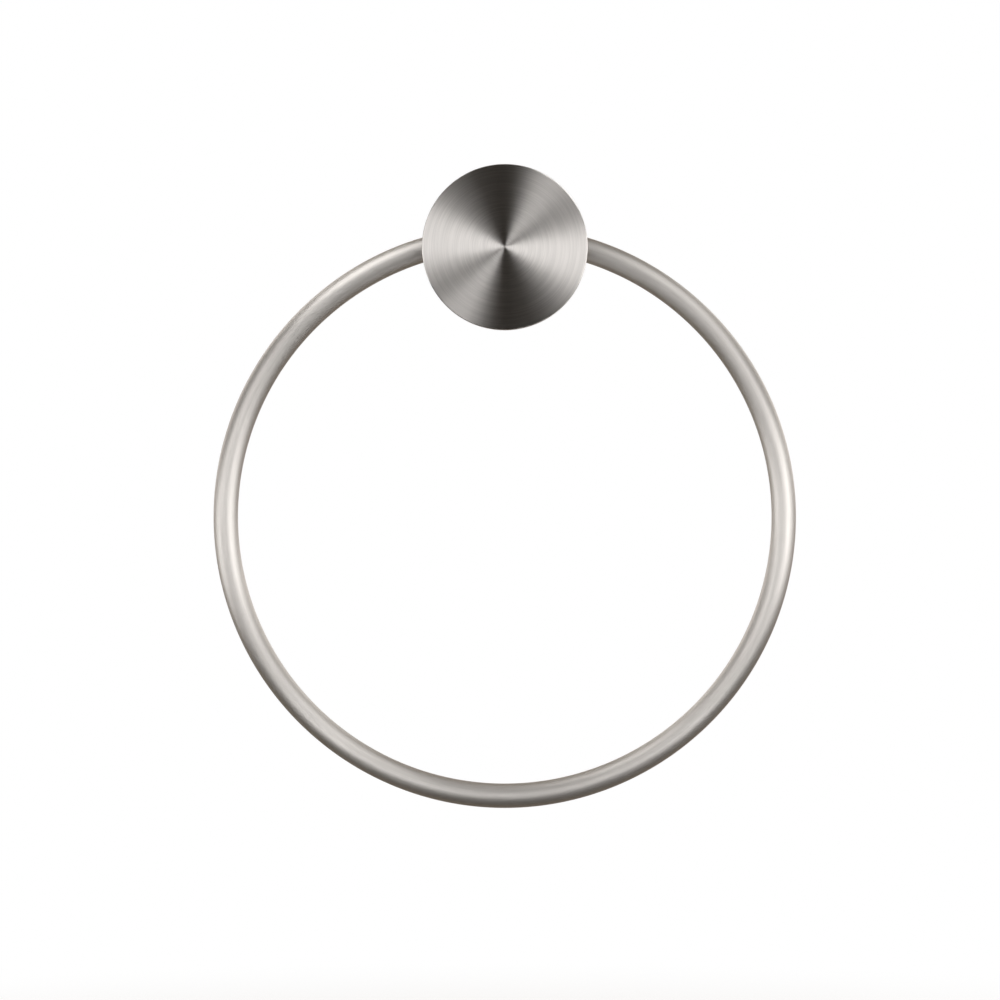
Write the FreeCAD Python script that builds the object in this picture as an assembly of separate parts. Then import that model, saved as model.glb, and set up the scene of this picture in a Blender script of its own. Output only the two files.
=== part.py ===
# Wall-mounted towel ring.
#
# A closed ring of round rod hangs through a round neck on a wall base, behind a flat round
# disc. The neck is split across the ring's plane, so each half holds half of the seat that the
# ring turns in: the front half is turned in one with the disc, the rear half is the post. Two
# long socket-head screws, put in through the base from the back, clamp base, post and disc
# together below the ring. The hollow base slips over a round bracket that is screwed to the
# wall, and a cone-point grub screw from below bites into the bracket's V-groove.
#
# Frame, in millimetres: the wall is the plane Y = 0, the room is towards -Y, +Z is up, and the
# origin is the centre of the base on the wall.

import FreeCAD, Part

import math
import os

from FreeCAD import Vector

# Ring
RING_INSIDE_DIAMETER = 185.0
ROD_DIAMETER = 8.5

# Seat that the ring hangs and turns in
RING_STANDOFF = 40.0          # wall to the ring's plane
SEAT_RISE = 4.0               # neck's axis up to the seat's axis
SEAT_PLAY = 0.25              # rod to seat, where the rod comes nearest
SEAT_MOUTH_CHAMFER = 0.6

# Front disc, turned in one with the front half of the neck
DISC_DIAMETER = 57.0
DISC_THICKNESS = 5.0
DISC_FRONT_CHAMFER = 0.6
DISC_BACK_CHAMFER = 0.4
DISC_ROOT_CHAMFER = 0.8       # cone in the corner between disc and neck
SWING_CLEARANCE = 1.25        # disc's back to the ring, when the ring stands straight out

# Post, the neck's rear half
NECK_DIAMETER = 26.0
SEAM_BEVEL = 0.2              # fine V round the neck, where two pieces meet

# Base
BASE_WALL = 4.2               # round the bracket
BASE_WEB = 2.5                # between the bracket's recess and the base's front
BASE_EDGE_CHAMFER = 0.8
BASE_FLARE = 4.0              # 45 degree cone from the base's front to the neck
BASE_RIM_CHAMFER = 0.3

# Wall bracket
WALL_SCREW_SPACING = 20.0
WALL_SCREW_HOLE = 4.8
WALL_SCREW_COUNTERSINK = 9.0  # 90 degree countersink
BRACKET_RIM = 2.0             # from the countersinks out to the bracket's edge
BRACKET_THICKNESS = 8.5
BRACKET_EDGE_CHAMFER = 0.5
BRACKET_PLAY = 0.2            # bracket to recess, all round
BRACKET_HEAD_ROOM = 1.5       # recess left in front of the wall screws' heads
GROOVE_DEPTH = 2.0            # V-groove with flanks at 45 degrees
GROOVE_LAND = 1.0             # rim left between the groove and the front chamfer

# Grub screw, M4, with a 90 degree cone point
GRUB_DIAMETER = 4.0
GRUB_SETBACK = 0.3            # its socket end lies this far inside the base
GRUB_TIP_PLAY = 0.1           # cone to groove
GRUB_SOCKET = 2.0             # across flats
GRUB_SOCKET_DEPTH = 2.2

# Disc screws, M3 socket head
SCREW_DIAMETER = 3.0
SCREW_LENGTH_STEP = 5.0       # such screws come in steps of this length
SCREW_HEAD_DIAMETER = 5.5
SCREW_HEAD_HEIGHT = 3.0
SCREW_HEAD_CHAMFER = 0.3
SCREW_TIP_CHAMFER = 0.4
SCREW_SOCKET = 2.5            # across flats
SCREW_SOCKET_DEPTH = 1.5
SCREW_HEAD_SINK = 0.5         # how far the head lies inside its counterbore
SCREW_WEB = 4.0               # metal of the base that the head clamps
SCREW_FRONT_WALL = 3.0        # the least metal in front of the tapped hole
SCREW_BLIND_ROOM = 1.0        # hole left past the screw's tip
SCREW_HOLE_PLAY = 0.2         # shank to its hole, and head to its counterbore
SCREW_EDGE_WALL = 2.4         # hole to the neck's outside
SCREW_ANGLE = 38.0            # each screw's turn away from straight below the axis, degrees

# Tapped holes, sockets and cutting tools
THREAD_PLAY = 0.02            # screw to tapped hole, as plain cylinders
SOCKET_DRILL_ANGLE = 120.0    # cone at the bottom of a hex socket, degrees
FLARE_SHARE = 0.9             # the most of its ledge that the base's flare may take
OVERSHOOT = 1.0               # how far a cutting tool runs past a face

# Ring and seat. The rod is curved and its seat is straight, so the seat is wider than the rod
# by as much as the rod drops between the middle of the neck and its sides.
rod_radius = ROD_DIAMETER / 2
ring_inside_radius = RING_INSIDE_DIAMETER / 2
ring_radius = ring_inside_radius + rod_radius
neck_radius = NECK_DIAMETER / 2
seat_half_length = math.sqrt(neck_radius ** 2 - SEAT_RISE ** 2)
rod_drop = ring_radius - math.sqrt(ring_radius ** 2 - seat_half_length ** 2)
seat_radius = rod_radius + rod_drop + SEAT_PLAY

# Disc. When the ring stands straight out it curves round the disc's edge, so the disc lies as
# far in front of the ring's plane as the ring's inside curves forward there.
disc_radius = DISC_DIAMETER / 2
ring_reach = ring_inside_radius - math.sqrt(ring_inside_radius ** 2 - disc_radius ** 2)
disc_back = RING_STANDOFF + rod_radius + ring_reach + SWING_CLEARANCE
disc_front = disc_back + DISC_THICKNESS

# Bracket and base
hole_radius = WALL_SCREW_HOLE / 2
sink_radius = WALL_SCREW_COUNTERSINK / 2
bracket_radius = WALL_SCREW_SPACING / 2 + sink_radius + BRACKET_RIM
groove_centre = BRACKET_THICKNESS - BRACKET_EDGE_CHAMFER - GROOVE_LAND - GROOVE_DEPTH
recess_radius = bracket_radius + BRACKET_PLAY
recess_depth = BRACKET_THICKNESS + BRACKET_HEAD_ROOM
base_radius = recess_radius + BASE_WALL
base_depth = recess_depth + BASE_WEB

# Where the post stands on the base, and the base's flare
post_back = recess_depth + SCREW_HEAD_SINK + SCREW_HEAD_HEIGHT + SCREW_WEB
base_ledge = min(base_radius - BASE_EDGE_CHAMFER - neck_radius, post_back - base_depth)
base_flare = min(BASE_FLARE, FLARE_SHARE * base_ledge)

# Grub screw
grub_radius = GRUB_DIAMETER / 2
grub_tip = bracket_radius - GROOVE_DEPTH + GRUB_TIP_PLAY
grub_length = base_radius - GRUB_SETBACK - grub_tip

# Disc screws, in the longest standard length that the disc has room for
screw_radius = SCREW_DIAMETER / 2
screw_hole_radius = screw_radius + SCREW_HOLE_PLAY
counterbore_radius = SCREW_HEAD_DIAMETER / 2 + SCREW_HOLE_PLAY
screw_circle = neck_radius - SCREW_EDGE_WALL - screw_hole_radius
screw_side = screw_circle * math.sin(math.radians(SCREW_ANGLE))
screw_drop = screw_circle * math.cos(math.radians(SCREW_ANGLE))
screw_head_seat = post_back - SCREW_WEB
screw_room = disc_front - SCREW_FRONT_WALL - SCREW_BLIND_ROOM - screw_head_seat
screw_length = SCREW_LENGTH_STEP * math.floor(screw_room / SCREW_LENGTH_STEP)
screw_tip = screw_head_seat + screw_length

# Directions
OUT = Vector(0, -1, 0)        # away from the wall
UP = Vector(0, 0, 1)
DOWN = Vector(0, 0, -1)
ACROSS = Vector(1, 0, 0)


def turned(outline):
    """A solid of revolution about the neck's axis, from (radius, distance from wall) points."""
    points = [Vector(radius, -distance, 0) for radius, distance in outline]
    face = Part.Face(Part.makePolygon(points + points[:1]))
    return face.revolve(Vector(), OUT, 360)


def is_seat_mouth(edge):
    """True for the edges where the ring's seat comes out through the sides of the neck."""
    middle = edge.CenterOfGravity
    off_seat = math.hypot(middle.y + RING_STANDOFF, middle.z - SEAT_RISE)
    on_side = abs(middle.x) > seat_half_length / 2
    return on_side and off_seat < seat_radius and not isinstance(edge.Curve, (Part.Circle, Part.Line))


def hex_socket(across_flats, depth, mouth, inward):
    """The cutting tool of a hex socket that runs from its mouth inward to a drill's cone."""
    corner = across_flats / math.sqrt(3)
    turn = FreeCAD.Rotation(UP, inward)
    start = mouth - inward * OVERSHOOT
    corners = []
    for n in range(6):
        angle = math.radians(60 * n)
        corners.append(start + turn.multVec(Vector(math.cos(angle), math.sin(angle), 0)) * corner)
    prism = Part.Face(Part.makePolygon(corners + corners[:1])).extrude(inward * (depth + OVERSHOOT))
    drill_radius = across_flats / 2
    drill_height = drill_radius / math.tan(math.radians(SOCKET_DRILL_ANGLE / 2))
    return prism.fuse(Part.makeCone(drill_radius, 0, drill_height, mouth + inward * depth, inward))


def ring():
    """The closed ring, hanging with the top of its centre line on the seat's axis."""
    centre = Vector(0, -RING_STANDOFF, SEAT_RISE - ring_radius)
    return Part.makeTorus(ring_radius, rod_radius, centre, OUT)


def spindle():
    """Disc, neck and base as one turned blank, with the ring's seat bored across the neck and a
    fine V turned round each seam between two pieces."""
    blank = turned([
        (0, 0),
        (base_radius - BASE_RIM_CHAMFER, 0),
        (base_radius, BASE_RIM_CHAMFER),
        (base_radius, base_depth - BASE_EDGE_CHAMFER),
        (base_radius - BASE_EDGE_CHAMFER, base_depth),
        (neck_radius + base_flare, base_depth),
        (neck_radius, base_depth + base_flare),
        (neck_radius, disc_back - DISC_ROOT_CHAMFER),
        (neck_radius + DISC_ROOT_CHAMFER, disc_back),
        (disc_radius - DISC_BACK_CHAMFER, disc_back),
        (disc_radius, disc_back + DISC_BACK_CHAMFER),
        (disc_radius, disc_front - DISC_FRONT_CHAMFER),
        (disc_radius - DISC_FRONT_CHAMFER, disc_front),
        (0, disc_front),
    ])
    reach = neck_radius + OVERSHOOT
    seat_start = Vector(-reach, -RING_STANDOFF, SEAT_RISE)
    blank = blank.cut(Part.makeCylinder(seat_radius, 2 * reach, seat_start, ACROSS))
    blank = blank.makeChamfer(SEAT_MOUTH_CHAMFER, [e for e in blank.Edges if is_seat_mouth(e)])
    return blank.cut(seam_groove(post_back)).cut(seam_groove(RING_STANDOFF))


def seam_groove(distance):
    """The fine V that the bevelled edges of two pieces leave between them."""
    half_width = SEAM_BEVEL + OVERSHOOT
    return turned([
        (neck_radius - SEAM_BEVEL, distance),
        (neck_radius + OVERSHOOT, distance - half_width),
        (neck_radius + OVERSHOOT, distance + half_width),
    ])


def slab(near, far):
    """A block wider than the whole spindle that spans two distances from the wall."""
    half = max(disc_radius, base_radius) + OVERSHOOT
    return Part.makeBox(2 * half, far - near, 2 * half, Vector(-half, -far, -half))


def screw_bore(side, radius, near, far):
    """The cutting tool of one disc screw's hole, between two distances from the wall."""
    start = Vector(side * screw_side, -near, -screw_drop)
    return Part.makeCylinder(radius, far - near, start, OUT)


def front_disc(blank):
    """The disc with its half of the neck, tapped from the split face for the two screws."""
    solid = blank.common(slab(RING_STANDOFF, disc_front + OVERSHOOT))
    start = RING_STANDOFF - OVERSHOOT
    end = screw_tip + SCREW_BLIND_ROOM
    for side in (-1, 1):
        solid = solid.cut(screw_bore(side, screw_radius + THREAD_PLAY, start, end))
    return solid


def post(blank):
    """The neck's rear half, with its half of the ring's seat and a through hole for each screw."""
    solid = blank.common(slab(post_back, RING_STANDOFF))
    start = post_back - OVERSHOOT
    end = RING_STANDOFF + OVERSHOOT
    for side in (-1, 1):
        solid = solid.cut(screw_bore(side, screw_hole_radius, start, end))
    return solid


def base(blank):
    """The hollow base: bracket recess, counterbored screw holes and the grub screw's thread."""
    solid = blank.common(slab(-OVERSHOOT, post_back))
    recess_start = Vector(0, OVERSHOOT, 0)
    solid = solid.cut(Part.makeCylinder(recess_radius, recess_depth + OVERSHOOT, recess_start, OUT))
    start = recess_depth - OVERSHOOT
    end = post_back + OVERSHOOT
    for side in (-1, 1):
        solid = solid.cut(screw_bore(side, counterbore_radius, start, screw_head_seat))
        solid = solid.cut(screw_bore(side, screw_hole_radius, start, end))
    tapped_start = OUT * groove_centre
    tapped_length = base_radius + OVERSHOOT
    return solid.cut(Part.makeCylinder(grub_radius + THREAD_PLAY, tapped_length, tapped_start, DOWN))


def wall_bracket():
    """The round bracket: two countersunk screw holes, and a V-groove round its rim."""
    solid = turned([
        (0, 0),
        (bracket_radius, 0),
        (bracket_radius, groove_centre - GROOVE_DEPTH),
        (bracket_radius - GROOVE_DEPTH, groove_centre),
        (bracket_radius, groove_centre + GROOVE_DEPTH),
        (bracket_radius, BRACKET_THICKNESS - BRACKET_EDGE_CHAMFER),
        (bracket_radius - BRACKET_EDGE_CHAMFER, BRACKET_THICKNESS),
        (0, BRACKET_THICKNESS),
    ])
    sink_depth = sink_radius - hole_radius
    hole_length = BRACKET_THICKNESS + 2 * OVERSHOOT
    for side in (-1, 1):
        x = side * WALL_SCREW_SPACING / 2
        hole = Part.makeCylinder(hole_radius, hole_length, Vector(x, OVERSHOOT, 0), OUT)
        sink_start = Vector(x, -(BRACKET_THICKNESS - sink_depth), 0)
        sink = Part.makeCone(hole_radius, sink_radius, sink_depth, sink_start, OUT)
        solid = solid.cut(hole).cut(sink)
    return solid


def grub_screw():
    """The grub screw, with its cone in the bracket's groove and its socket facing down."""
    point = OUT * groove_centre + DOWN * grub_tip
    cone = Part.makeCone(0, grub_radius, grub_radius, point, DOWN)
    body = Part.makeCylinder(grub_radius, grub_length - grub_radius, point + DOWN * grub_radius, DOWN)
    socket = hex_socket(GRUB_SOCKET, GRUB_SOCKET_DEPTH, point + DOWN * grub_length, UP)
    return cone.fuse(body).cut(socket)


def disc_screw(side):
    """One socket-head screw, its head on the floor of its counterbore and its tip in the disc."""
    head_radius = SCREW_HEAD_DIAMETER / 2
    head_back = screw_head_seat - SCREW_HEAD_HEIGHT
    solid = turned([
        (0, head_back),
        (head_radius - SCREW_HEAD_CHAMFER, head_back),
        (head_radius, head_back + SCREW_HEAD_CHAMFER),
        (head_radius, screw_head_seat),
        (screw_radius, screw_head_seat),
        (screw_radius, screw_tip - SCREW_TIP_CHAMFER),
        (screw_radius - SCREW_TIP_CHAMFER, screw_tip),
        (0, screw_tip),
    ])
    solid = solid.cut(hex_socket(SCREW_SOCKET, SCREW_SOCKET_DEPTH, OUT * head_back, OUT))
    solid.translate(Vector(side * screw_side, 0, -screw_drop))
    return solid


def main():
    blank = spindle()
    pieces = {
        "ring": ring(),
        "front_disc": front_disc(blank),
        "post": post(blank),
        "base": base(blank),
        "disc_screw_left": disc_screw(-1),
        "disc_screw_right": disc_screw(1),
        "wall_bracket": wall_bracket(),
        "grub_screw": grub_screw(),
    }
    os.makedirs("parts", exist_ok=True)
    for name, shape in pieces.items():
        whole = len(shape.Solids) == 1 and shape.isValid()
        print(f"{name}: {shape.Volume:.1f} mm3, {'one valid solid' if whole else 'NOT one valid solid'}")
        shape.Solids[0].exportStep(os.path.join("parts", name + ".step"))


main()
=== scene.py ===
"""Looks of a wall-mounted towel ring: a closed steel ring that hangs behind a round brushed disc.

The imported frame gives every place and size. The ring and the disc get finely divided meshes of
their own. The post, the base, the bracket and the screws keep their frame meshes and get their
finishes. Lengths are in metres, -Y faces the room and +Z is up.
"""

import logging
import math
from dataclasses import dataclass, replace
from enum import Enum
from typing import Callable

import bmesh
import bpy
from mathutils import Matrix, Vector


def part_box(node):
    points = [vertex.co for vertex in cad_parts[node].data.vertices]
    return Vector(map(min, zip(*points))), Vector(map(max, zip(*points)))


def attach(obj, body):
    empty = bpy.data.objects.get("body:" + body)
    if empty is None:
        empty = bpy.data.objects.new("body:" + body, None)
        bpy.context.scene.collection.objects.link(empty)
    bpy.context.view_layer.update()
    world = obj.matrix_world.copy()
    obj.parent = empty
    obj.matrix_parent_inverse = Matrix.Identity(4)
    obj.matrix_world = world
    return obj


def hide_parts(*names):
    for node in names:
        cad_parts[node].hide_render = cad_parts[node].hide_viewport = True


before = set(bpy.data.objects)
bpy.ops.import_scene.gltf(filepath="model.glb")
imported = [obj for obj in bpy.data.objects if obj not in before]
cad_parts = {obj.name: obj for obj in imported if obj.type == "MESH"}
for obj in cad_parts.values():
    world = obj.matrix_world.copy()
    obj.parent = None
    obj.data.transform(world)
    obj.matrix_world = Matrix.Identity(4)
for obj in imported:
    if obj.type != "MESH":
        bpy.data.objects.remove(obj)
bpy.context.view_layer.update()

LOG = logging.getLogger("towel_ring")

Socket = bpy.types.NodeSocket
Colour = tuple[float, float, float]
Place = tuple[float, float, float]
Span = tuple[float, float]

MM = 0.001
SAME_PLACE = 1e-6
LEAST_REACH = 0.05 * MM
FULL_TURN = 2 * math.pi
QUARTER_TURN = math.pi / 2
ORIGIN: Place = (0.0, 0.0, 0.0)
TO_WALL: Place = (0.0, 1.0, 0.0)
QUAD_CORNERS = 4

UV_NAME = "OFBake"
MAP_MIDDLE = 0.5
NOISE_DETAIL = 1.0
NOISE_ROUGHNESS = 0.5
NONE_TO_FULL: Span = (0.0, 1.0)
WHITE: Colour = (1.0, 1.0, 1.0)
OPAQUE = 1.0

PICTURE_MIDDLE_X = -1.65 * MM
PICTURE_MIDDLE_Z = -86.95 * MM


class Body(Enum):
    """The two bodies that move against each other."""

    WALL_POST = "wall_post"
    HANGING_RING = "hanging_ring"


class Slot(Enum):
    """The record's material slots."""

    RING_ROD = "ring_rod"
    TURNED_DISC = "turned_disc"
    TURNED_POST = "turned_post"
    BRACKET_STEEL = "bracket_steel"
    SCREW_STEEL = "screw_steel"


class Lit(Enum):
    """What a lamp lights, where flags keep its light off the rest: the names of the pieces."""

    ALL = ()
    RING = ("ring_rod",)
    DISC = ("disc_face",)


class NodeBench:
    """Adds shader nodes to one material or world and wires them up."""

    def __init__(self, tree: bpy.types.NodeTree) -> None:
        """Takes a material's or the world's node tree, and empties it."""
        self.tree = tree
        self.tree.nodes.clear()

    def add(self, kind: str) -> bpy.types.Node:
        """Adds one node."""
        return self.tree.nodes.new(kind)

    def wire(self, source: Socket, target: Socket) -> None:
        """Joins one node's output to another node's input."""
        self.tree.links.new(source, target)

    def feed(self, target: Socket, value: Socket | float) -> None:
        """Gives an input its value, which is a number or another node's output.

        Args:
            target: The input.
            value: The number or the output.
        """
        if isinstance(value, Socket):
            self.wire(value, target)
        else:
            target.default_value = value

    def calc(self, operation: str, *values: Socket | float) -> Socket:
        """One step of arithmetic.

        Args:
            operation: A Math node's operation, such as "MULTIPLY".
            *values: Its numbers or nodes' outputs, in order.

        Returns:
            The result's socket.
        """
        node = self.add("ShaderNodeMath")
        node.operation = operation
        for target, value in zip(node.inputs, values):
            self.feed(target, value)
        return node.outputs[0]

    def hypotenuse(self, first: Socket, second: Socket) -> Socket:
        """The long side of a right-angled triangle, kept clear of zero.

        Args:
            first: One short side.
            second: The other one.

        Returns:
            The long side's socket.
        """
        squares = [self.calc("MULTIPLY", side, side) for side in (first, second)]
        total = self.calc("ADD", *squares)
        return self.calc("MAXIMUM", self.calc("SQRT", total), LEAST_REACH)

    def combine(self, *values: Socket | float) -> Socket:
        """Makes a vector.

        Args:
            *values: Its x, y and z, as numbers or nodes' outputs.

        Returns:
            The vector's socket.
        """
        node = self.add("ShaderNodeCombineXYZ")
        for target, value in zip(node.inputs, values):
            self.feed(target, value)
        return node.outputs[0]

    def noise(self, vector: Socket, w: Socket) -> Socket:
        """Four-dimensional noise at unit scale, from 0 to 1.

        Args:
            vector: The first three coordinates.
            w: The fourth coordinate.

        Returns:
            The noise's socket.
        """
        node = self.add("ShaderNodeTexNoise")
        node.noise_dimensions = "4D"
        node.inputs["Scale"].default_value = 1.0
        node.inputs["Detail"].default_value = NOISE_DETAIL
        node.inputs["Roughness"].default_value = NOISE_ROUGHNESS
        self.wire(vector, node.inputs["Vector"])
        self.wire(w, node.inputs["W"])
        return node.outputs["Fac"]

    def spread(self, value: Socket, source: Span, result: Span) -> Socket:
        """Maps a range of values smoothly onto another, and holds its ends.

        Args:
            value: The socket to map.
            source: The values that become the two results.
            result: The results at those values.

        Returns:
            The mapped value's socket.
        """
        node = self.add("ShaderNodeMapRange")
        node.interpolation_type = "SMOOTHSTEP"
        self.wire(value, node.inputs["Value"])
        names = ("From Min", "From Max", "To Min", "To Max")
        for name, number in zip(names, (*source, *result)):
            node.inputs[name].default_value = number
        return node.outputs["Result"]

    def split(self, vector: Socket) -> tuple[Socket, Socket, Socket]:
        """Takes a vector apart.

        Args:
            vector: The vector's socket.

        Returns:
            The sockets of its x, y and z.
        """
        node = self.add("ShaderNodeSeparateXYZ")
        self.wire(vector, node.inputs["Vector"])
        return node.outputs["X"], node.outputs["Y"], node.outputs["Z"]

    def place_from(self, centre: Place) -> tuple[Socket, Socket, Socket]:
        """The shaded point's x, y and z from a centre, in the piece's own coordinates.

        Args:
            centre: The centre's x, y and z.

        Returns:
            The three sockets.
        """
        place = self.add("ShaderNodeTexCoord")
        shift = self.add("ShaderNodeMapping")
        shift.inputs["Location"].default_value = [-number for number in centre]
        self.wire(place.outputs["Object"], shift.inputs["Vector"])
        return self.split(shift.outputs["Vector"])

    def tint(self, amount: Socket, dark: Colour, light: Colour) -> Socket:
        """Mixes two colours by an amount from 0 to 1.

        Args:
            amount: How much of the light colour there is.
            dark: The colour at 0.
            light: The colour at 1.

        Returns:
            The colour's socket.
        """
        node = self.add("ShaderNodeMix")
        node.data_type = "RGBA"
        self.wire(amount, node.inputs["Factor"])
        ends = [socket for socket in node.inputs if socket.type == "RGBA"]
        for target, colour in zip(ends, (dark, light)):
            target.default_value = (*colour, OPAQUE)
        return next(socket for socket in node.outputs if socket.type == "RGBA")

    def blend_shaders(self, amount: Socket, first: Socket, second: Socket) -> Socket:
        """Mixes two shaders.

        Args:
            amount: How much of the second there is, from 0 to 1.
            first: The shader at 0.
            second: The shader at 1.

        Returns:
            The mixed shader's socket.
        """
        node = self.add("ShaderNodeMixShader")
        for target, source in zip(node.inputs, (amount, first, second)):
            self.wire(source, target)
        return node.outputs["Shader"]


@dataclass(frozen=True)
class BrushedSteel:
    """Stainless steel brushed in circles about an axis along Y.

    Attributes:
        name: The material's name.
        tone: The steel's mean colour, linear.
        contrast: How far the lines' colour swings about the mean, as a share of it.
        roughness: Its mean roughness.
        roughness_swing: How far the lines' roughness swings about the mean.
        anisotropy: How much wider the gloss is across the lines than along them.
        line_width: The width of the main lines.
        line_turn: How many lines follow each other within one radian of a turn.
        relief: The height of the lines.
        gloss_turn: The part of a turn between the tangent and the way that the gloss is drawn out.
        fine_share: How much of the grain is main lines. The rest is broad lines.
        broad_width: How many times as wide as the main lines the broad ones are.
        broad_turn: How many times as often they follow each other within a turn.
        band: The grain's levels that are as dull and as bright as it gets.
        centre: A point on the axis.
    """

    name: str
    tone: Colour
    contrast: float
    roughness: float
    roughness_swing: float
    anisotropy: float
    line_width: float
    line_turn: float
    relief: float
    gloss_turn: float = 0.25
    fine_share: float = 0.62
    broad_width: float = 3.0
    broad_turn: float = 0.7
    band: Span = (0.36, 0.64)
    centre: Place = ORIGIN

    def shade(self, factor: float) -> Colour:
        """The mean colour made lighter or darker by a factor."""
        return tuple(min(1.0, channel * factor) for channel in self.tone)

    def lines(self, bench: NodeBench, width: float, turn: float) -> Socket:
        """Noise drawn out round the axis, without a seam anywhere on the piece.

        Args:
            bench: The material that the nodes go to.
            width: The width of one line.
            turn: How many lines follow each other within one radian of a turn.

        Returns:
            The noise's socket, from 0 to 1.
        """
        x, depth, z = bench.place_from(self.centre)
        reach = bench.hypotenuse(x, z)
        across = [bench.calc("MULTIPLY", socket, 1 / width) for socket in (reach, depth)]
        along = [
            bench.calc("MULTIPLY", bench.calc("DIVIDE", socket, reach), turn)
            for socket in (x, z)]
        return bench.noise(bench.combine(*across, along[0]), along[1])

    def tangent(self, bench: NodeBench) -> Socket:
        """The direction that the gloss is turned from: round the axis.

        Args:
            bench: The material that the node goes to.

        Returns:
            The direction's socket.
        """
        node = bench.add("ShaderNodeTangent")
        node.direction_type = "RADIAL"
        node.axis = "Y"
        return node.outputs["Tangent"]

    def material(self) -> bpy.types.Material:
        """Builds the finish.

        Returns:
            The finished material.
        """
        steel = bpy.data.materials.new(self.name)
        steel.use_nodes = True
        bench = NodeBench(steel.node_tree)
        shader = bench.add("ShaderNodeBsdfPrincipled")
        shader.inputs["Metallic"].default_value = 1.0
        shader.inputs["Anisotropic"].default_value = self.anisotropy
        shader.inputs["Anisotropic Rotation"].default_value = self.gloss_turn
        fine = self.lines(bench, self.line_width, self.line_turn)
        broad = self.lines(
            bench, self.broad_width * self.line_width, self.broad_turn * self.line_turn)
        parts = [
            bench.calc("MULTIPLY", lines, share)
            for lines, share in ((fine, self.fine_share), (broad, 1 - self.fine_share))]
        grain = bench.calc("ADD", *parts)
        amount = bench.spread(grain, self.band, NONE_TO_FULL)
        dull = self.roughness + self.roughness_swing
        bright = self.roughness - self.roughness_swing
        bump = bench.add("ShaderNodeBump")
        bump.inputs["Distance"].default_value = self.relief
        bench.wire(grain, bump.inputs["Height"])
        bench.wire(bump.outputs["Normal"], shader.inputs["Normal"])
        colour = bench.tint(amount, self.shade(1 - self.contrast), self.shade(1 + self.contrast))
        bench.wire(colour, shader.inputs["Base Color"])
        bench.wire(bench.spread(grain, self.band, (dull, bright)), shader.inputs["Roughness"])
        bench.wire(self.tangent(bench), shader.inputs["Tangent"])
        bench.wire(shader.outputs["BSDF"], bench.add("ShaderNodeOutputMaterial").inputs["Surface"])
        return steel


@dataclass(frozen=True)
class RodSteel(BrushedSteel):
    """Stainless steel brushed along the rod of a ring."""

    def tangent(self, bench: NodeBench) -> Socket:
        """The direction that the gloss is turned from: along the rod, as its UV map runs.

        Args:
            bench: The material that the node goes to.

        Returns:
            The direction's socket.
        """
        node = bench.add("ShaderNodeTangent")
        node.direction_type = "UV_MAP"
        node.uv_map = UV_NAME
        return node.outputs["Tangent"]


DISC_STEEL = BrushedSteel(
    name="steel_brushed_in_circles", tone=(0.617, 0.592, 0.57), contrast=0.075, roughness=0.285,
    roughness_swing=0.01, anisotropy=0.95, line_width=0.42 * MM, line_turn=1.3, relief=0.0001 * MM,
)
ROD_STEEL = RodSteel(
    name="steel_satin_along_the_rod", tone=(0.622, 0.596, 0.568), contrast=0.03, roughness=0.47,
    roughness_swing=0.01, anisotropy=0.62, line_width=0.4 * MM, line_turn=5.0, relief=0.0003 * MM,
)
POST_STEEL = BrushedSteel(
    name="steel_turned", tone=(0.62, 0.595, 0.565), contrast=0.05, roughness=0.34,
    roughness_swing=0.02, anisotropy=0.7, line_width=0.25 * MM, line_turn=1.5, relief=0.0005 * MM,
)
BRACKET_STEEL = BrushedSteel(
    name="steel_machined", tone=(0.55, 0.54, 0.53), contrast=0.09, roughness=0.42,
    roughness_swing=0.04, anisotropy=0.6, line_width=0.3 * MM, line_turn=2.0, relief=0.002 * MM,
)
SCREW_STEEL = BrushedSteel(
    name="steel_plain", tone=(0.48, 0.47, 0.46), contrast=0.1, roughness=0.34,
    roughness_swing=0.05, anisotropy=0.3, line_width=0.2 * MM, line_turn=6.0, relief=0.001 * MM,
)


class EditSession:
    """A mesh in edit mode, with helpers that select by place."""

    def __init__(self, piece: bpy.types.Object) -> None:
        """Takes the mesh object to edit."""
        self.piece = piece

    def __enter__(self) -> "EditSession":
        """Makes the piece the only selected object and enters edit mode with nothing selected.

        Returns:
            The session itself.
        """
        bpy.ops.object.select_all(action="DESELECT")
        self.piece.select_set(True)
        bpy.context.view_layer.objects.active = self.piece
        bpy.ops.object.mode_set(mode="EDIT")
        bpy.ops.mesh.select_all(action="DESELECT")
        return self

    def __exit__(self, *_: object) -> None:
        """Goes back to object mode."""
        bpy.ops.object.mode_set(mode="OBJECT")

    def select_edges(self, wanted: Callable[[Vector], bool]) -> None:
        """Selects the edges whose two ends are both wanted, and nothing else.

        Args:
            wanted: True for a wanted end's place.
        """
        bpy.ops.mesh.select_mode(type="EDGE")
        bpy.ops.mesh.select_all(action="DESELECT")
        mesh = bmesh.from_edit_mesh(self.piece.data)
        for edge in mesh.edges:
            edge.select_set(all(wanted(vert.co) for vert in edge.verts))
        bmesh.update_edit_mesh(self.piece.data)

    def select_cap(self, y: float) -> None:
        """Selects the many-sided face that closes a round piece at one y.

        Args:
            y: Where the face is.
        """
        bpy.ops.mesh.select_mode(type="FACE")
        bpy.ops.mesh.select_all(action="DESELECT")
        mesh = bmesh.from_edit_mesh(self.piece.data)
        for face in mesh.faces:
            is_cap = len(face.verts) > QUAD_CORNERS
            face.select_set(is_cap and abs(face.calc_center_median().y - y) < SAME_PLACE)
        bmesh.update_edit_mesh(self.piece.data)

    def close_seams(self) -> None:
        """Merges the points that share a place and turns all faces outwards."""
        bpy.ops.mesh.select_all(action="SELECT")
        bpy.ops.mesh.remove_doubles(threshold=SAME_PLACE)
        bpy.ops.mesh.normals_make_consistent(inside=False)


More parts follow.
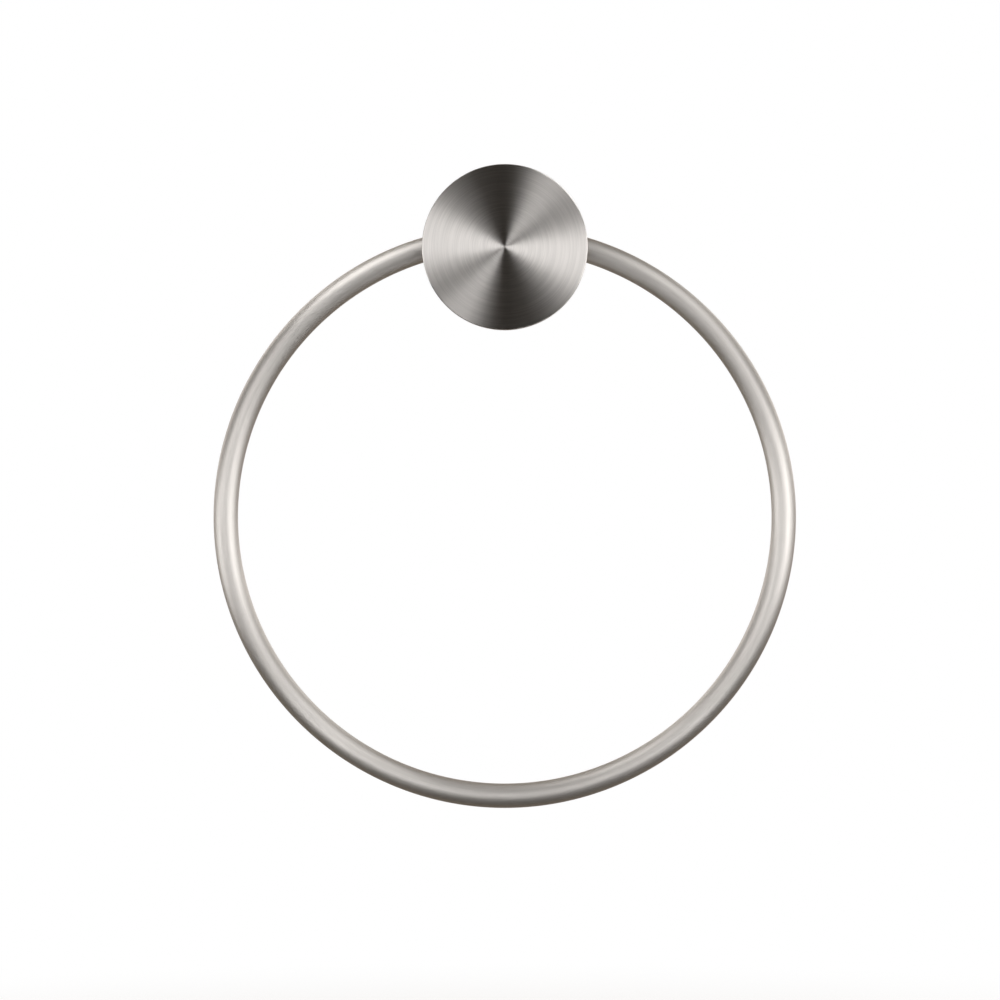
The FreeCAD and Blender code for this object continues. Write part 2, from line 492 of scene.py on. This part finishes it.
def lay_uv(piece: bpy.types.Object, outline: Callable[[Vector], Span]) -> None:
    """Unrolls a turned piece, face by face, so that no face spans the map's seam.

    Args:
        piece: The mesh object.
        outline: Gives a point's two angles: round the piece's axis, and along its outline.
    """
    mesh = piece.data
    layer = mesh.uv_layers.new(name=UV_NAME)
    for face in mesh.polygons:
        middle = outline(face.center)
        for loop in face.loop_indices:
            corner = outline(mesh.vertices[mesh.loops[loop].vertex_index].co)
            turns = [
                mid + (own - mid + math.pi) % FULL_TURN - math.pi
                for mid, own in zip(middle, corner)]
            layer.data[loop].uv = [turn / FULL_TURN + MAP_MIDDLE for turn in turns]


@dataclass
class HangingRing:
    """The closed ring of round rod.

    Attributes:
        centre: The middle of the ring.
        radius: From there to the middle of the rod.
        rod_radius: Half the rod's thickness.
        finish: The rod's finish.
        turn_steps: Sections round the ring.
        rod_steps: Points round the rod.
    """

    centre: Vector
    radius: float
    rod_radius: float
    finish: RodSteel = ROD_STEEL
    turn_steps: int = 360
    rod_steps: int = 64

    @classmethod
    def from_frame(cls) -> "HangingRing":
        """Reads the ring's place and size from its frame node.

        Returns:
            The ring's sizes.
        """
        low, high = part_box("ring")
        rod_radius = (high.y - low.y) / 2
        radius = (high.z - low.z) / 2 - rod_radius
        return cls(centre=(low + high) / 2, radius=radius, rod_radius=rod_radius)

    def build(self) -> list[bpy.types.Object]:
        """Spins the rod's round section about the ring's centre and dresses it.

        Returns:
            The ring, alone in a list.
        """
        bpy.ops.object.select_all(action="DESELECT")
        bpy.ops.mesh.primitive_circle_add(
            vertices=self.rod_steps, radius=self.rod_radius,
            location=self.centre + Vector((self.radius, 0, 0)))
        piece = bpy.context.object
        piece.name = "ring_rod"
        bpy.ops.object.transform_apply(location=True, rotation=True, scale=True)
        with EditSession(piece) as session:
            bpy.ops.mesh.select_all(action="SELECT")
            bpy.ops.mesh.spin(
                steps=self.turn_steps, angle=FULL_TURN, center=self.centre, axis=TO_WALL)
            session.close_seams()
        bpy.ops.object.shade_smooth()
        lay_uv(piece, self.outline)
        self.dress(piece)
        return [piece]

    def outline(self, place: Vector) -> Span:
        """Where a point lies on the rod's surface.

        Args:
            place: The point.

        Returns:
            Its angle round the ring and its angle round the rod.
        """
        arm = place - self.centre
        reach = math.hypot(arm.x, arm.z) - self.radius
        return math.atan2(arm.z, arm.x), math.atan2(arm.y, reach)

    def dress(self, piece: bpy.types.Object) -> None:
        """Gives the ring its finish and hangs it on its body.

        Args:
            piece: The ring.
        """
        piece.data.materials.append(replace(self.finish, centre=tuple(self.centre)).material())
        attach(piece, Body.HANGING_RING.value)
        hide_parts("ring")


@dataclass
class FrontDisc:
    """The brushed disc, and the half of the neck behind it.

    Attributes:
        radius: The disc's radius.
        front: The y of its face.
        thickness: The disc's thickness.
        front_round: The radius of the edge round its face.
        back_round: The radius of the edge round its back.
        overlap: How far the neck's end is let into the disc.
        turn_steps: Points round the disc.
        edge_steps: Faces across each rounded edge.
        face_rings: Rings of faces from the rim to the middle.
        rim_ring: The width of the outermost ring, which keeps the face flat up to its edge.
        hub_radius: The radius of the small fan of faces in the middle.
        plate_smooth: The disc's edges are shaded smooth below this angle.
        neck_smooth: The same, for the neck.
        map_share: How much of the UV map's height the disc's outline takes.
    """

    radius: float
    front: float
    thickness: float = 5.0 * MM
    front_round: float = 0.3 * MM
    back_round: float = 0.4 * MM
    overlap: float = 0.02 * MM
    turn_steps: int = 240
    edge_steps: int = 6
    face_rings: int = 22
    rim_ring: float = 0.04 * MM
    hub_radius: float = 0.3 * MM
    plate_smooth: float = math.radians(30)
    neck_smooth: float = math.radians(25)
    map_share: float = 0.98

    @classmethod
    def from_frame(cls) -> "FrontDisc":
        """Reads the disc's place and size from its frame node."""
        low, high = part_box("front_disc")
        return cls(radius=(high.z - low.z) / 2, front=low.y)

    @property
    def back(self) -> float:
        """The y of the disc's back."""
        return self.front + self.thickness

    def build(self) -> list[bpy.types.Object]:
        """Builds and dresses the disc and its half of the neck.

        Returns:
            Both pieces.
        """
        pieces = [self.build_plate(), self.build_neck()]
        for piece, finish in zip(pieces, (DISC_STEEL, POST_STEEL)):
            piece.data.materials.clear()
            piece.data.materials.append(finish.material())
            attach(piece, Body.WALL_POST.value)
            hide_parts("front_disc")
        return pieces

    def build_plate(self) -> bpy.types.Object:
        """Makes the disc: a round blank with rounded edges, its faces divided into rings.

        Returns:
            The disc without its neck.
        """
        bpy.ops.object.select_all(action="DESELECT")
        bpy.ops.mesh.primitive_cylinder_add(
            vertices=self.turn_steps, radius=self.radius, depth=self.thickness,
            end_fill_type="NGON", location=(0, (self.front + self.back) / 2, 0),
            rotation=(QUARTER_TURN, 0, 0))
        piece = bpy.context.object
        piece.name = "disc_face"
        bpy.ops.object.transform_apply(location=True, rotation=True, scale=True)
        with EditSession(piece) as session:
            for y, edge_round in ((self.front, self.front_round), (self.back, self.back_round)):
                session.select_edges(lambda place: abs(place.y - y) < SAME_PLACE)
                bpy.ops.mesh.bevel(offset=edge_round, segments=self.edge_steps, affect="EDGES")
                self.ring_face(session, y, self.radius - edge_round - self.rim_ring)
            session.close_seams()
        bpy.ops.object.shade_smooth_by_angle(angle=self.plate_smooth)
        lay_uv(piece, self.outline)
        return piece

    def ring_face(self, session: EditSession, y: float, flat_radius: float) -> None:
        """Insets one flat face in rings, and closes its middle with a fan.

        Args:
            session: The disc's edit session.
            y: Where the face is.
            flat_radius: The radius of the face inside its narrow outermost ring.
        """
        step = (flat_radius - self.hub_radius) / self.face_rings
        for width in [self.rim_ring] + [step] * self.face_rings:
            session.select_cap(y)
            bpy.ops.mesh.inset(thickness=width)
        session.select_cap(y)
        bpy.ops.mesh.poke()

    def outline(self, place: Vector) -> Span:
        """Where a point lies on the disc's surface.

        Args:
            place: The point.

        Returns:
            Its angle round the disc, and its way along the outline as an angle.
        """
        reach = math.hypot(place.x, place.z)
        depth = min(max(place.y - self.front, 0.0), self.thickness)
        length = 2 * self.radius + self.thickness
        way = reach + depth
        if depth >= self.thickness / 2:
            way = length - reach - self.thickness + depth
        along = (way / length - MAP_MIDDLE) * self.map_share * FULL_TURN
        return math.atan2(place.z, place.x), along

    def build_neck(self) -> bpy.types.Object:
        """Takes the neck's front half from the frame's mesh, and lets its end into the disc.

        Returns:
            The neck half, closed at its end.
        """
        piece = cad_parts["front_disc"].copy()
        piece.data = piece.data.copy()
        piece.name = "disc_neck"
        piece.parent = None
        for key in list(piece.keys()):
            del piece[key]
        bpy.context.scene.collection.objects.link(piece)
        cut = self.back + self.overlap / 2
        with EditSession(piece) as session:
            session.close_seams()
            bpy.ops.mesh.select_all(action="SELECT")
            bpy.ops.mesh.bisect(
                plane_co=(0, cut, 0), plane_no=TO_WALL, use_fill=True, clear_inner=True,
                threshold=SAME_PLACE)
            session.select_edges(lambda place: abs(place.y - cut) < SAME_PLACE)
            bpy.ops.transform.translate(value=(0, -self.overlap, 0))
            session.close_seams()
        bpy.ops.object.shade_smooth_by_angle(angle=self.neck_smooth)
        return piece


@dataclass
class FrameGroup:
    """Nodes that keep their frame meshes and share one finish.

    Attributes:
        names: The nodes' names.
        finish: Their finish.
        slot: Their material slot in the record. It is not used.
    """

    names: tuple[str, ...]
    finish: BrushedSteel
    slot: Slot

    def build(self) -> list[bpy.types.Object]:
        """Gives the nodes their finish.

        Returns:
            The dressed nodes.
        """
        steel = self.finish.material()
        nodes = [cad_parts[name] for name in self.names]
        for node in nodes:
            node.data.materials.clear()
            node.data.materials.append(steel)
        return nodes


@dataclass
class WallBase(FrameGroup):
    """The turned base on the wall and the rear half of the neck."""

    names: tuple[str, ...] = ("base", "post")
    finish: BrushedSteel = POST_STEEL
    slot: Slot = Slot.TURNED_POST


@dataclass
class WallBracket(FrameGroup):
    """The bracket inside the base, which the wall screws hold."""

    names: tuple[str, ...] = ("wall_bracket",)
    finish: BrushedSteel = BRACKET_STEEL
    slot: Slot = Slot.BRACKET_STEEL


@dataclass
class Screws(FrameGroup):
    """The two screws through the neck and the grub screw in the base's underside."""

    names: tuple[str, ...] = ("disc_screw_left", "disc_screw_right", "grub_screw")
    finish: BrushedSteel = SCREW_STEEL
    slot: Slot = Slot.SCREW_STEEL


@dataclass(frozen=True)
class Softbox:
    """A soft rectangular lamp that faces the object.

    Attributes:
        name: Its name.
        turn: Its direction round the line of sight, in degrees: 0 is right and 90 is up.
        off_axis: Its angle from the line of sight, in degrees.
        reach: The angle that it fills outwards from the line of sight, in degrees.
        breadth: The angle that it fills across that, in degrees.
        brightness: How bright its face is, where 1 is a white surface in the picture.
        distance: How far it is from the object.
        lit: What it lights.
    """

    name: str
    turn: float
    off_axis: float
    reach: float
    breadth: float
    brightness: float
    distance: float = 1.3
    lit: Lit = Lit.ALL

    def side(self, angle: float) -> float:
        """The length that fills an angle, in degrees, at the lamp's distance."""
        return 2 * self.distance * math.tan(math.radians(angle / 2))

    def build(self, target: Vector) -> None:
        """Sets the lamp up.

        Args:
            target: The point that it faces.
        """
        turn, off_axis = math.radians(self.turn), math.radians(self.off_axis)
        sideways = Vector((math.cos(turn), 0, math.sin(turn)))
        away = sideways * math.sin(off_axis) - Vector((0, math.cos(off_axis), 0))
        along = sideways * math.cos(off_axis) + Vector((0, math.sin(off_axis), 0))
        lamp = bpy.data.lights.new(self.name, "AREA")
        lamp.shape = "RECTANGLE"
        lamp.size, lamp.size_y = self.side(self.reach), self.side(self.breadth)
        lamp.energy = self.brightness * math.pi * lamp.size * lamp.size_y
        holder = bpy.data.objects.new(self.name, lamp)
        bpy.context.scene.collection.objects.link(holder)
        facing = Matrix((along, away.cross(along), away)).transposed().to_4x4()
        holder.matrix_world = Matrix.Translation(target + away * self.distance) @ facing
        holder.visible_camera = False
        if self.lit is not Lit.ALL:
            receivers = bpy.data.collections.new(f"lit_by_{self.name}")
            for name in self.lit.value:
                receivers.objects.link(bpy.data.objects[name])
            holder.light_linking.receiver_collection = receivers


@dataclass(frozen=True)
class Surroundings:
    """What surrounds the studio: dark in front, dim at the sides and white behind the object.

    Attributes:
        front: How bright it is in front, to all but the camera.
        side: The same, at the sides.
        back: The same, behind.
        warmth: The colour of the dim part.
        front_band: Where the front's brightness ends and the sides' is reached, from -1 for
            straight ahead to 1 for straight behind.
        back_band: Where the sides' brightness ends and the back's is reached, in the same way.
        white_band: Where the white starts in the metal's gloss and where it is full.
    """

    front: float = 0.018
    side: float = 0.10
    back: float = 0.26
    warmth: Colour = (1.0, 0.79, 0.58)
    front_band: Span = (-0.5, 0.0)
    back_band: Span = (0.0, 0.7)
    white_band: Span = (0.85, 0.98)

    def build(self) -> None:
        """Sets up the world: its glow, and the white that the camera, metal and glass show."""
        world = bpy.data.worlds.new("surroundings")
        world.use_nodes = True
        bench = NodeBench(world.node_tree)
        _, behind, _ = bench.split(bench.add("ShaderNodeTexCoord").outputs["Generated"])
        front_part = bench.spread(behind, self.front_band, (self.front, self.side))
        back_part = bench.spread(behind, self.back_band, (0.0, self.back - self.side))
        glow, white = bench.add("ShaderNodeBackground"), bench.add("ShaderNodeBackground")
        glow.inputs["Color"].default_value = (*self.warmth, OPAQUE)
        bench.wire(bench.calc("ADD", front_part, back_part), glow.inputs["Strength"])
        white.inputs["Color"].default_value = (*WHITE, OPAQUE)
        white.inputs["Strength"].default_value = 1.0
        path = bench.add("ShaderNodeLightPath").outputs
        mirrored = bench.calc("ADD", path["Is Glossy Ray"], path["Is Transmission Ray"])
        whiteness = bench.spread(behind, self.white_band, NONE_TO_FULL)
        shown = bench.calc("MULTIPLY", mirrored, whiteness)
        amount = bench.calc("ADD", path["Is Camera Ray"], shown)
        mixed = bench.blend_shaders(amount, glow.outputs[0], white.outputs[0])
        bench.wire(mixed, bench.add("ShaderNodeOutputWorld").inputs["Surface"])
        bpy.context.scene.world = world


@dataclass(frozen=True)
class PaleFloor:
    """The floor, which shows the object's shadow near it and melts into white further off.

    Attributes:
        height: Its z.
        radius: Its radius.
        grey: How much light it throws back.
        lift: The light that is added for the camera.
        fade_band: The distances from the middle where it starts to melt into white and where it
            is white.
        turn_steps: Points round it.
    """

    height: float = -0.30
    radius: float = 1.5
    grey: float = 0.8
    lift: float = 0.45
    fade_band: Span = (0.15, 0.5)
    turn_steps: int = 96

    def build(self) -> None:
        """Lays the floor."""
        bpy.ops.object.select_all(action="DESELECT")
        bpy.ops.mesh.primitive_circle_add(
            vertices=self.turn_steps, radius=self.radius, fill_type="NGON",
            location=(0, 0, self.height))
        floor = bpy.context.object
        floor.name = "floor"
        bpy.ops.object.transform_apply(location=True, rotation=True, scale=True)
        floor.data.materials.append(self.material())
        floor.visible_glossy = False

    def material(self) -> bpy.types.Material:
        """Builds the floor's finish.

        Returns:
            The finished material.
        """
        paint = bpy.data.materials.new("pale_floor")
        paint.use_nodes = True
        bench = NodeBench(paint.node_tree)
        kinds = ("BsdfDiffuse", "Emission", "Emission")
        matt, lift, white = (bench.add(f"ShaderNode{kind}") for kind in kinds)
        matt.inputs["Color"].default_value = (self.grey, self.grey, self.grey, OPAQUE)
        lift.inputs["Strength"].default_value = self.lift
        white.inputs["Strength"].default_value = 1.0
        near = bench.add("ShaderNodeAddShader")
        bench.wire(matt.outputs[0], near.inputs[0])
        bench.wire(lift.outputs[0], near.inputs[1])
        x, y, _ = bench.place_from(ORIGIN)
        fade = bench.spread(bench.hypotenuse(x, y), self.fade_band, NONE_TO_FULL)
        seen = bench.blend_shaders(fade, near.outputs[0], white.outputs[0])
        path = bench.add("ShaderNodeLightPath").outputs
        mixed = bench.blend_shaders(path["Is Camera Ray"], matt.outputs[0], seen)
        bench.wire(mixed, bench.add("ShaderNodeOutputMaterial").inputs["Surface"])
        return paint


@dataclass
class Studio:
    """The floor, the surroundings, the lamps and the camera.

    Attributes:
        sight: The point of the ring's plane that is in the middle of the picture.
        camera_distance: From that point to the camera.
        picture_width: The width of the ring's plane that the picture shows.
        softboxes: The lamps.
    """

    sight: Vector
    camera_distance: float = 1.6
    picture_width: float = 0.3468
    softboxes: tuple[Softbox, ...] = (
        Softbox("right_box", turn=1, off_axis=44, reach=63, breadth=28, brightness=2.9),
        Softbox("left_box", turn=162, off_axis=35, reach=35, breadth=24, brightness=2.4),
        Softbox("low_left_box", turn=222, off_axis=19, reach=18, breadth=10, brightness=3.1),
        Softbox("left_side_box", turn=186, off_axis=73, reach=39, breadth=24, brightness=2.5),
        Softbox("upper_right_box", turn=53, off_axis=53, reach=46, breadth=29, brightness=1.7),
        Softbox("top_left_box", turn=120, off_axis=58, reach=12, breadth=14, brightness=3.0),
        Softbox(
            "near_top_left_box", turn=119, off_axis=67, reach=20, breadth=28, brightness=3.3,
            distance=0.26, lit=Lit.RING),
        Softbox(
            "disc_upper_right_box", turn=54, off_axis=50, reach=46, breadth=26, brightness=1.0,
            lit=Lit.DISC),
        Softbox(
            "disc_low_box", turn=293, off_axis=58, reach=20, breadth=26, brightness=1.5,
            lit=Lit.DISC),
        Softbox(
            "near_low_box", turn=272, off_axis=45, reach=14, breadth=75, brightness=2.0,
            distance=0.14, lit=Lit.RING),
        Softbox("right_rim_box", turn=0, off_axis=95, reach=30, breadth=40, brightness=0.4),
        Softbox("top_box", turn=90, off_axis=85, reach=20, breadth=30, brightness=0.9),
        Softbox("back_left_box", turn=150, off_axis=130, reach=40, breadth=40, brightness=1.2),
        Softbox("back_right_box", turn=30, off_axis=130, reach=40, breadth=40, brightness=1.2),
    )

    @classmethod
    def from_frame(cls) -> "Studio":
        """Aims the studio at the ring's plane."""
        low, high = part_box("ring")
        return cls(sight=Vector((PICTURE_MIDDLE_X, (low.y + high.y) / 2, PICTURE_MIDDLE_Z)))

    def build(self) -> None:
        """Sets up the floor, the surroundings, the lamps and the camera."""
        PaleFloor().build()
        Surroundings().build()
        for softbox in self.softboxes:
            softbox.build(self.sight)
        self.build_camera()
        bpy.context.scene.view_settings.view_transform = "Standard"

    def build_camera(self) -> None:
        """Puts the camera straight in front of the ring."""
        lens = bpy.data.cameras.new("camera")
        lens.angle = 2 * math.atan(self.picture_width / 2 / self.camera_distance)
        camera = bpy.data.objects.new("camera", lens)
        camera.location = self.sight - Vector((0, self.camera_distance, 0))
        camera.rotation_euler = (QUARTER_TURN, 0, 0)
        bpy.context.scene.collection.objects.link(camera)
        bpy.context.scene.camera = camera


def report(piece: bpy.types.Object) -> None:
    """Logs one piece's name, size and number of faces."""
    size = [length / MM for length in piece.dimensions]
    LOG.info("%s: %.1f x %.1f x %.1f mm, %d faces", piece.name, *size, len(piece.data.polygons))


def main() -> None:
    """Builds the towel ring's looks and its studio, and reports each piece."""
    logging.basicConfig(level=logging.INFO, format="%(message)s")
    assemblies = (
        HangingRing.from_frame(), FrontDisc.from_frame(), WallBase(), WallBracket(), Screws())
    for assembly in assemblies:
        for piece in assembly.build():
            report(piece)
    Studio.from_frame().build()


if __name__ == "__main__":
    main()
